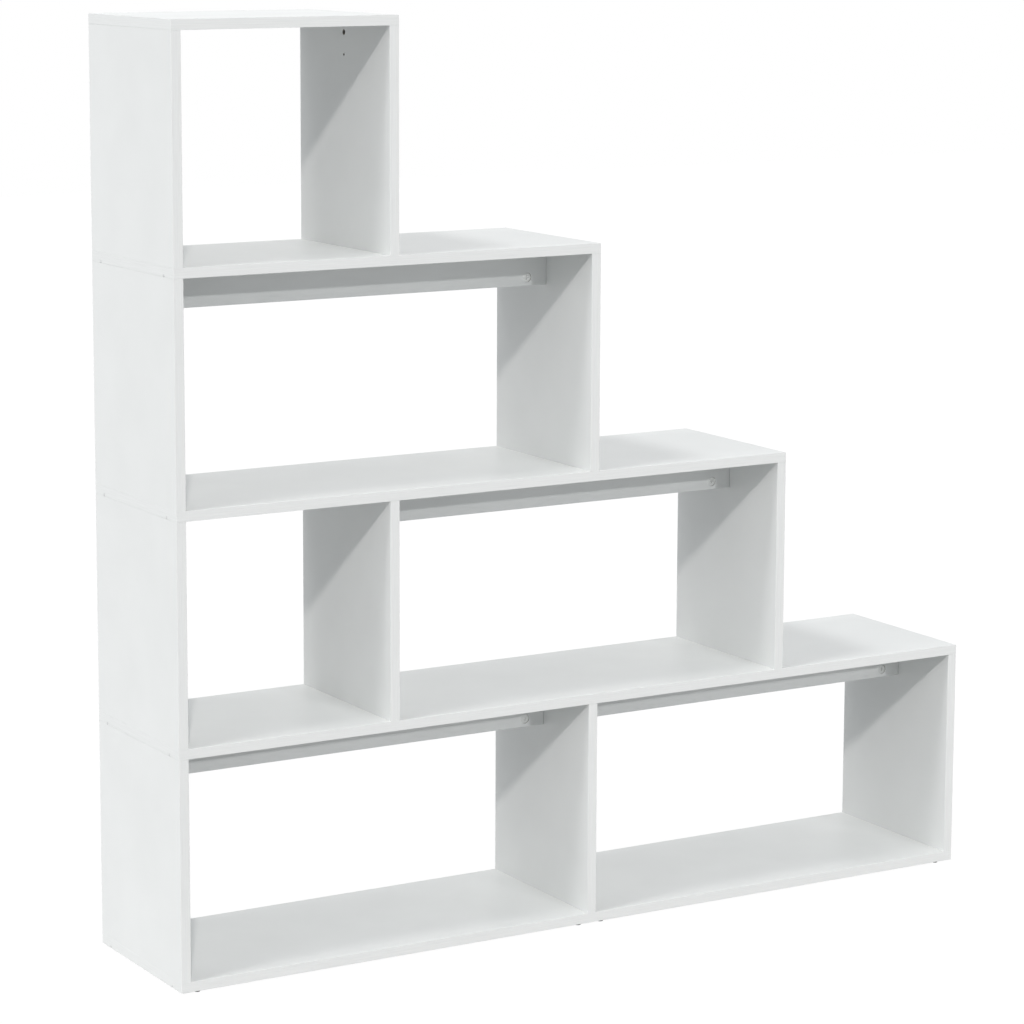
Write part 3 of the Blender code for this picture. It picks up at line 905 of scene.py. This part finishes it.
# %% The screw's profile
THREAD_PITCH = 2.2 * MM
THREAD_DEPTH = 0.8 * MM
THREAD_ROWS = 6
SCREW_RUN_IN = 1 / 8
SCREW_TIP = 4.0 * MM
TIP_ROWS = 8
HEAD_CHAMFER = 0.3 * MM


def thread_rows(radius, start, end, pitch, run_in):
    """A threaded stretch of a profile. The thread deepens over the run-in, a share of the stretch."""
    rows = int((end - start) / pitch * THREAD_ROWS)
    return [(radius, start + step / rows * (end - start), min(1.0, step / rows / run_in))
            for step in range(rows + 1)]


def screw_profile():
    """The screw's half cross-section. Its head's face is at height 0, and its thread fades at the tip."""
    head, shank, ease, end = HEAD_D / 2, SHANK_D / 2, HEAD_CHAMFER, SCREW_LENGTH - SCREW_TIP
    points = [(0.0, 0.0), (head - ease, 0.0), (head - ease / 4, ease / 4), (head, ease),
              (head, HEAD_HEIGHT - ease / 2), (head - ease / 2, HEAD_HEIGHT), (shank, HEAD_HEIGHT)]
    points += thread_rows(shank, PANEL, end, THREAD_PITCH, SCREW_RUN_IN)
    for step in range(1, TIP_ROWS):
        part = step / TIP_ROWS
        points.append((shank * (1 - part), end + part * SCREW_TIP, (1 - part) ** 2))
    return points + [(0.0, SCREW_LENGTH)]


print("a screw's profile has", len(screw_profile()), "points")

# %% [markdown]
# The socket isn't round, so it is cut out of the turned screw. Such a cut can leave slivers, faces so
# thin that they have no area and that leave gaps in an exported model, so they are dissolved.

# %% Make the screws
SLIVER = 0.0002 * MM
SCREW_STEPS = 24
SOCKET_WIDTH = 4.0 * MM
SOCKET_DEPTH = 2.2 * MM


def drop_slivers(body):
    """Dissolves slivers, and splits faces of more than four corners so that no new slivers come."""
    bm = bmesh.new()
    bm.from_mesh(body.data)
    bmesh.ops.dissolve_degenerate(bm, dist=SLIVER, edges=bm.edges)
    wide = [face for face in bm.faces if len(face.verts) > 4]
    bmesh.ops.triangulate(bm, faces=wide, quad_method="BEAUTY", ngon_method="BEAUTY")
    bmesh.ops.dissolve_degenerate(bm, dist=SLIVER, edges=bm.edges)
    bm.to_mesh(body.data)
    bm.free()


def make_screws():
    screw = turned("screw", screw_profile(), Steps_Around=SCREW_STEPS, Thread_Pitch=THREAD_PITCH,
                   Thread_Depth=THREAD_DEPTH)
    socket = bmesh.new()
    prism(socket, 6, SOCKET_WIDTH / math.sqrt(3), 2 * SOCKET_DEPTH)
    cut(screw, socket)
    drop_slivers(screw)
    places = [((middle(name).x, middle(name).y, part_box(name)[0].z), UP, 0.0) for name in SCREWS]
    set_out("board_screws", screw, STEEL, places, SCREWS, loose_turn=math.tau)


make_screws()

# %% [markdown]
# ### Cam locks
#
# A cam lock is a zinc drum in a pocket of the rail. Its face has a cross recess for a screwdriver, and
# an arrow that shows where the bolt comes in. Inside, a hollow takes the bolt's ball head, and turning
# the drum pulls the bolt, and with it the upright, against the rail's end. The real drum is cast with
# its recess and openings. Here its round shape is turned first, and then they are cut out of it.

# %% The drum's profile
CAM_STEPS = 48
CAM_CHAMFER = 0.5 * MM
CAM_RIM = 0.9 * MM
CAM_RIM_FLAT = 0.8
CAM_DISH = 0.25 * MM


def drum_profile():
    """The drum's half cross-section. Its face is at height 0, and dished within a rim."""
    radius, ease, rim = CAM_D / 2, CAM_CHAMFER, CAM_D / 2 - CAM_CHAMFER
    return [(0.0, -CAM_DISH), (rim - CAM_RIM, -CAM_DISH), (rim - CAM_RIM * CAM_RIM_FLAT, 0.0), (rim, 0.0),
            (radius - ease / 4, -ease / 4), (radius, -ease), (radius, -CAM_DEPTH + ease),
            (rim, -CAM_DEPTH), (0.0, -CAM_DEPTH)]


print("a drum's profile has", len(drum_profile()), "points")

# %% [markdown]
# Four cuts follow one another: a round hollow for the ball, a bore where the bolt comes in, a slot that
# the neck runs through while the drum turns, and the recess with its arrow. One Boolean could take them
# all, but its cutters would cross one another, and single cuts are easier to check.

# %% Make the locks
CROSS_LENGTH = 6.4 * MM
CROSS_WIDTH = 1.3 * MM
CROSS_DEPTH = 1.6 * MM
ARROW_REACH = 5.6 * MM
ARROW_SIZE = 1.6 * MM
BALL_D = 7.0 * MM
NECK_D = 4.0 * MM
BALL_CLEAR = 0.7 * MM
NECK_CLEAR = 0.25 * MM


def face_recess():
    """The cutter for the cross and the arrow in the drum's face."""
    recess = bmesh.new()
    long, wide, above = CROSS_LENGTH / 2, CROSS_WIDTH / 2, CAM_D / 2
    bar(recess, (-long, -wide, -CROSS_DEPTH), (long, wide, above))
    bar(recess, (-wide, -long, -CROSS_DEPTH), (wide, long, above))
    arrow = Matrix.Translation((-ARROW_REACH + ARROW_SIZE / 2, 0, -CAM_DISH))
    prism(recess, 3, ARROW_SIZE / 2, 4 * CAM_DISH, arrow @ Matrix.Rotation(math.pi / 2, 4, "Z"))
    return recess


def make_drum():
    """The drum's axis is Z, and the bolt comes in along -X."""
    drum = turned("cam_drum", drum_profile(), Steps_Around=CAM_STEPS)
    axis = -(rail_axis - lock_low.y)
    ball, neck = BALL_D / 2 + BALL_CLEAR, NECK_D / 2 + NECK_CLEAR
    hollow, way_in, slot = bmesh.new(), bmesh.new(), bmesh.new()
    drill(hollow, (0, 0, axis - ball + OVERSHOOT), UP, 2 * ball, 2 * ball - OVERSHOOT)
    drill(way_in, (OVERSHOOT, 0, axis), (-1, 0, 0), BALL_D + NECK_CLEAR, CAM_D)
    bar(slot, (-CAM_D, -CAM_D, axis - neck), (0, neck, axis + neck))
    for cutter in (hollow, way_in, slot, face_recess()):
        cut(drum, cutter)
    drop_slivers(drum)
    return drum


def make_locks():
    places = []
    for name in LOCKS:
        point, at_left = drum_middle(name)
        places.append(((point.x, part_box(name)[0].y, point.z), FORWARD, 0.0 if at_left else math.pi))
    set_out("cam_locks", make_drum(), ZINC, places, LOCKS)


make_locks()

# %% [markdown]
# ### Cam bolts
#
# A cam bolt has a ball head, a thin neck, a smooth stem that centres it in the rail, and a thread that
# is screwed into the upright. Where two rails meet at the middle upright of the bottom row, one long
# bolt passes through it, with a ball at each end. All of it is round, so a profile gives it, and the
# double bolt's profile is the half of a single one and that half again, in reverse.

# %% The bolts' profiles
BALL_STEPS = 10
NECK_PAST_DRUM = 2.75 * MM
BOLT_CHAMFER = 0.25 * MM
BOLT_PITCH = 1.8 * MM
BOLT_THREAD_DEPTH = 0.55 * MM
BOLT_RUN_IN = 1 / 4
# Radius, and height under the tip's end, as shares of the thread's radius.
BOLT_TIP = ((0.6, 0.3), (0.4, 0.0), (0.0, 0.0))


def bolt_half():
    """From the far side of the ball out to the collar that meets the upright."""
    ball, neck, stem, ease = BALL_D / 2, NECK_D / 2, BOLT_STEM_D / 2, BOLT_CHAMFER
    neck_angle = math.asin(neck / ball)
    points = [(0.0, -ball)]
    for step in range(1, BALL_STEPS + 1):
        angle = math.pi - step * (math.pi - neck_angle) / BALL_STEPS
        points.append((ball * math.sin(angle), ball * math.cos(angle)))
    shoulder = CAM_D / 2 + NECK_PAST_DRUM
    collar = CAM_FROM_FACE - FIT
    return points + [(neck, shoulder), (stem - ease, shoulder + stem - neck),
                     (stem, shoulder + stem - neck + ease), (stem, collar - ease), (stem - ease, collar)]


def single_bolt():
    """A bolt with a thread for the upright and a short, blunt tip."""
    half, thread, tip = bolt_half(), BOLT_THREAD_D / 2, CAM_FROM_FACE + DOWEL_REACH
    return half + thread_rows(thread, half[-1][1], tip - thread, BOLT_PITCH, BOLT_RUN_IN) + [
        (thread * wide, tip - thread * short) for wide, short in BOLT_TIP]


def double_bolt():
    """Two halves with a plain rod between them, which passes through the upright."""
    half, span = bolt_half(), 2 * CAM_FROM_FACE + PANEL
    return half + [(BOLT_THREAD_D / 2, half[-1][1]), (BOLT_THREAD_D / 2, span - half[-1][1])] + [
        (radius, span - height) for radius, height in reversed(half)]


print("the bolts' profiles have", len(single_bolt()), "and", len(double_bolt()), "points")

# %% [markdown]
# A lock's node also holds its bolt, so the length of its box tells which bolt it has: a double one
# reaches past the next rail's drum, a single one ends in the upright, and the lock at the double bolt's
# far end has none of its own.

# %% Make the bolts
def make_bolts():
    places = {"cam_bolts": [], "double_cam_bolt": []}
    for name in LOCKS:
        low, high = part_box(name)
        drum, at_left = drum_middle(name)
        reach = high.x - low.x - CAM_D / 2
        if reach > CAM_FROM_FACE:
            title = "double_cam_bolt" if reach > 2 * CAM_FROM_FACE else "cam_bolts"
            along = (-1.0 if at_left else 1.0, 0.0, 0.0)
            places[title].append(((drum.x, rail_axis, drum.z), along, 0.0))
        else:
            print(name, "has no bolt of its own")
    for title, profile in (("cam_bolts", single_bolt()), ("double_cam_bolt", double_bolt())):
        bolt = turned(title, profile, Steps_Around=SCREW_STEPS, Thread_Pitch=BOLT_PITCH,
                      Thread_Depth=BOLT_THREAD_DEPTH)
        set_out(title, bolt, STEEL, places[title])


make_bolts()

# %% [markdown]
# ### Dowels
#
# Beech dowels keep the panels in line: two in each upright's top end and one at each rail end, above
# the bolt. Their flutes let the glue and the air out. The one through the middle upright is longer.
# Twenty cutters could groove each dowel, but the turning tree sinks the flutes with no cut at all.

# %% Make the dowels
DOWEL_CHAMFER = 0.8 * MM
DOWEL_STEPS = 60
FLUTES = 20
FLUTE_DEPTH = 0.3 * MM


def dowel(name, length):
    """A dowel along Z that starts at height 0."""
    radius, ease = DOWEL_D / 2, DOWEL_CHAMFER
    profile = [(0.0, 0.0), (radius - ease, 0.0), (radius, ease, 0.0, 1.0),
               (radius, length - ease, 0.0, 1.0), (radius - ease, length), (0.0, length)]
    made = turned(name, profile, Steps_Around=DOWEL_STEPS, Flutes=FLUTES, Flute_Depth=FLUTE_DEPTH)
    lay_uv(made.data)
    return made


def make_dowels():
    short, long = [], []
    for name in UPRIGHTS:
        x, top = middle(name).x, board_box[BOARDS[row_of(name) + 1]][0].z
        short += [((x, y, top - DOWEL_ROOT), UP, 0.0) for y in DOWEL_YS]
        faces = rail_faces(name)
        if faces:
            start = (x + faces[0] * (PANEL / 2 + DOWEL_ROOT), rail_axis,
                     bolt_height(row_of(name)) + RAIL_HOLE_SPACING)
            (short if len(faces) == 1 else long).append((start, (-float(faces[0]), 0.0, 0.0), 0.0))
    set_out("wooden_dowels", dowel("dowel", DOWEL_ROOT + DOWEL_REACH), BEECH, short,
            loose_turn=math.tau)
    set_out("long_wooden_dowel", dowel("long_dowel", DOWEL_ROOT * 2 + PANEL), BEECH, long)


make_dowels()

# %% [markdown]
# ### Glides
#
# Eight black glides with a nail pin lift the bottom board off the floor. The foot is a low disc. It
# could be a plain cylinder, but a rounded rim is what makes it look moulded, at the cost of one arc in
# the profile.

# %% Make the glides
glide_low, glide_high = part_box(GLIDES[0])
GLIDE_D = glide_high.x - glide_low.x
GLIDE_HEIGHT = board_box["bottom_board"][0].z - glide_low.z
GLIDE_STEPS = 40
GLIDE_ROUND = 0.7 * MM
GLIDE_ROUND_STEPS = 4
GLIDE_CHAMFER = 0.2 * MM


def glide_profile():
    """The glide's half cross-section. It stands on the floor at height 0."""
    foot, pin, top = GLIDE_D / 2, PIN_D / 2, GLIDE_HEIGHT - SEAM
    points = [(0.0, 0.0)]
    for step in range(GLIDE_ROUND_STEPS + 1):
        angle = step / GLIDE_ROUND_STEPS * math.pi / 2
        points.append((foot - GLIDE_ROUND + GLIDE_ROUND * math.sin(angle),
                       GLIDE_ROUND - GLIDE_ROUND * math.cos(angle)))
    return points + [(foot, top - GLIDE_CHAMFER), (foot - GLIDE_CHAMFER, top), (pin, top),
                     (pin, glide_high.z - pin), (0.0, glide_high.z)]


def make_glides():
    glide = turned("glide", glide_profile(), Steps_Around=GLIDE_STEPS)
    places = [((middle(name).x, middle(name).y, glide_low.z), UP, 0.0) for name in GLIDES]
    set_out("glides", glide, POLYETHYLENE, places, GLIDES)


make_glides()

# %% [markdown]
# ## Floor, light and camera
#
# The bookcase stands on a plain studio floor. For the camera, and in mirrors and glass, the floor and
# the world are white, so the picture's ground is white. A little of the floor's own shading stays in
# it, which keeps a faint shadow. What the floor throws back up under the shelves is a mid grey, because
# a white floor would light the boards' undersides and the rails more than a real studio does. More light
# on a grey floor would make it white too, but it would burn out the panels.

# %% Floor and world
FLOOR_SIZE = 24.0
FLOOR_GREY = "#AAAAAA"
FLOOR_SHADE = 0.15
FLOOR_WHITE = 1.12
STUDIO_LIGHT = "#9C9FA3"


def is_seen(tree):
    """1 for a ray of the camera, or one that a mirror or glass sends on."""
    rays = add_node(tree, "ShaderNodeLightPath").outputs
    either = maths(tree, "MAXIMUM", rays["Is Camera Ray"], rays["Is Glossy Ray"])
    return maths(tree, "MAXIMUM", either, rays["Is Transmission Ray"])


def make_floor():
    made, tree, shader = finish_of("studio_floor_paint", roughness=0.9)
    shader.inputs["Base Color"].default_value = linear(FLOOR_GREY)
    white = add_node(tree, "ShaderNodeEmission", {"Color": (1, 1, 1, 1), "Strength": FLOOR_WHITE})
    share = maths(tree, "MULTIPLY", is_seen(tree), 1 - FLOOR_SHADE)
    mixed = add_node(tree, "ShaderNodeMixShader", {0: share, 1: shader.outputs[0], 2: white.outputs[0]})
    tree.links.new(mixed.outputs[0], tree.nodes["Material Output"].inputs["Surface"])
    bm = bmesh.new()
    bmesh.ops.create_grid(bm, x_segments=1, y_segments=1, size=FLOOR_SIZE / 2)
    floor = as_object(bm, "studio_floor", made)


def make_world():
    world = bpy.data.worlds.new("studio")
    world.use_nodes = True
    tree = world.node_tree
    light = toned(tree, is_seen(tree), (0.0, STUDIO_LIGHT), (1.0, "#FFFFFF"))
    tree.links.new(light, tree.nodes["Background"].inputs["Color"])
    bpy.context.scene.world = world


make_floor()
make_world()
print("the floor is", FLOOR_SIZE, "m wide")

# %% [markdown]
# The studio's pale walls and ceiling give an even, slightly blue light from all round, which is the
# world's. The lamps add to it, and each is so far off that its light comes in parallel: area lamps close
# by would light one end of the bookcase more than the other. Two small ones in front cast the crisp
# shadow of each shelf and a narrow wedge of light along the uprights' front edges. The key is a little
# warm, so what it doesn't reach looks slightly blue. The others are large and soft. A place on the
# compass is given from the front, turning by way of the left.

# %% Lamps
SUN_UNIT = math.pi
NEUTRAL, WARM, COOL = "#FFFFFF", "#FFFBF9", "#FAFFFF"


def lamp_from(name, compass, height, share, softness, colour=NEUTRAL):
    """A far lamp at a compass angle and a height in degrees. A share of 1 lights white paper to white."""
    lamp = bpy.data.lights.new(name, "SUN")
    lamp.energy = share * SUN_UNIT
    lamp.angle = math.radians(softness)
    lamp.color = linear(colour)[:3]
    item = bpy.data.objects.new(name, lamp)
    turn, tip = math.radians(compass), math.radians(height)
    travel = Vector((math.sin(turn) * math.cos(tip), math.cos(turn) * math.cos(tip), -math.sin(tip)))
    item.rotation_euler = travel.to_track_quat("-Z", "Y").to_euler()
    bpy.context.scene.collection.objects.link(item)


lamp_from("key_lamp", compass=26.6, height=35.6, share=0.515, softness=3.5, colour=WARM)
lamp_from("low_front_lamp", compass=-11.3, height=17.8, share=0.2, softness=1.5)
lamp_from("high_left_softbox", compass=82, height=59, share=0.25, softness=10)
lamp_from("left_softbox", compass=90, height=33, share=0.16, softness=18)
lamp_from("low_left_softbox", compass=90, height=12, share=0.14, softness=25)
lamp_from("front_left_softbox", compass=70, height=20, share=0.075, softness=18)
lamp_from("back_softbox", compass=180, height=48, share=0.13, softness=18, colour=COOL)
print("lamps:", len(bpy.data.lights))

# %% [markdown]
# The camera looks at the bookcase from the left, a little above its top, with a long lens. A level camera
# would keep the uprights quite parallel, but only with so large a shift that the bookcase would leave the
# frame from other sides. So it is tipped down and its frame is shifted a little, which keeps them nearly
# parallel.

# %% Camera
SENSOR = 36.0
IMAGE = 1024
FOCAL_PIXELS = 3376.0
CAMERA_YAW = 29.57
CAMERA_TILT = -8.88
CAMERA_SHIFT = (0.0832, -0.086)
CAMERA_PLACE = (-2.670, -4.3345, 1.5475)

camera = bpy.data.cameras.new("studio_camera")
camera.sensor_width = SENSOR
camera.lens = SENSOR * FOCAL_PIXELS / IMAGE
camera.shift_x, camera.shift_y = CAMERA_SHIFT
camera_item = bpy.data.objects.new("studio_camera", camera)
camera_item.location = CAMERA_PLACE
camera_item.rotation_euler = (math.radians(90 + CAMERA_TILT), 0.0, -math.radians(CAMERA_YAW))
bpy.context.scene.collection.objects.link(camera_item)
bpy.context.scene.camera = camera_item
bpy.context.scene.view_settings.view_transform = "Standard"
print("lens", round(camera.lens, 1), "mm")
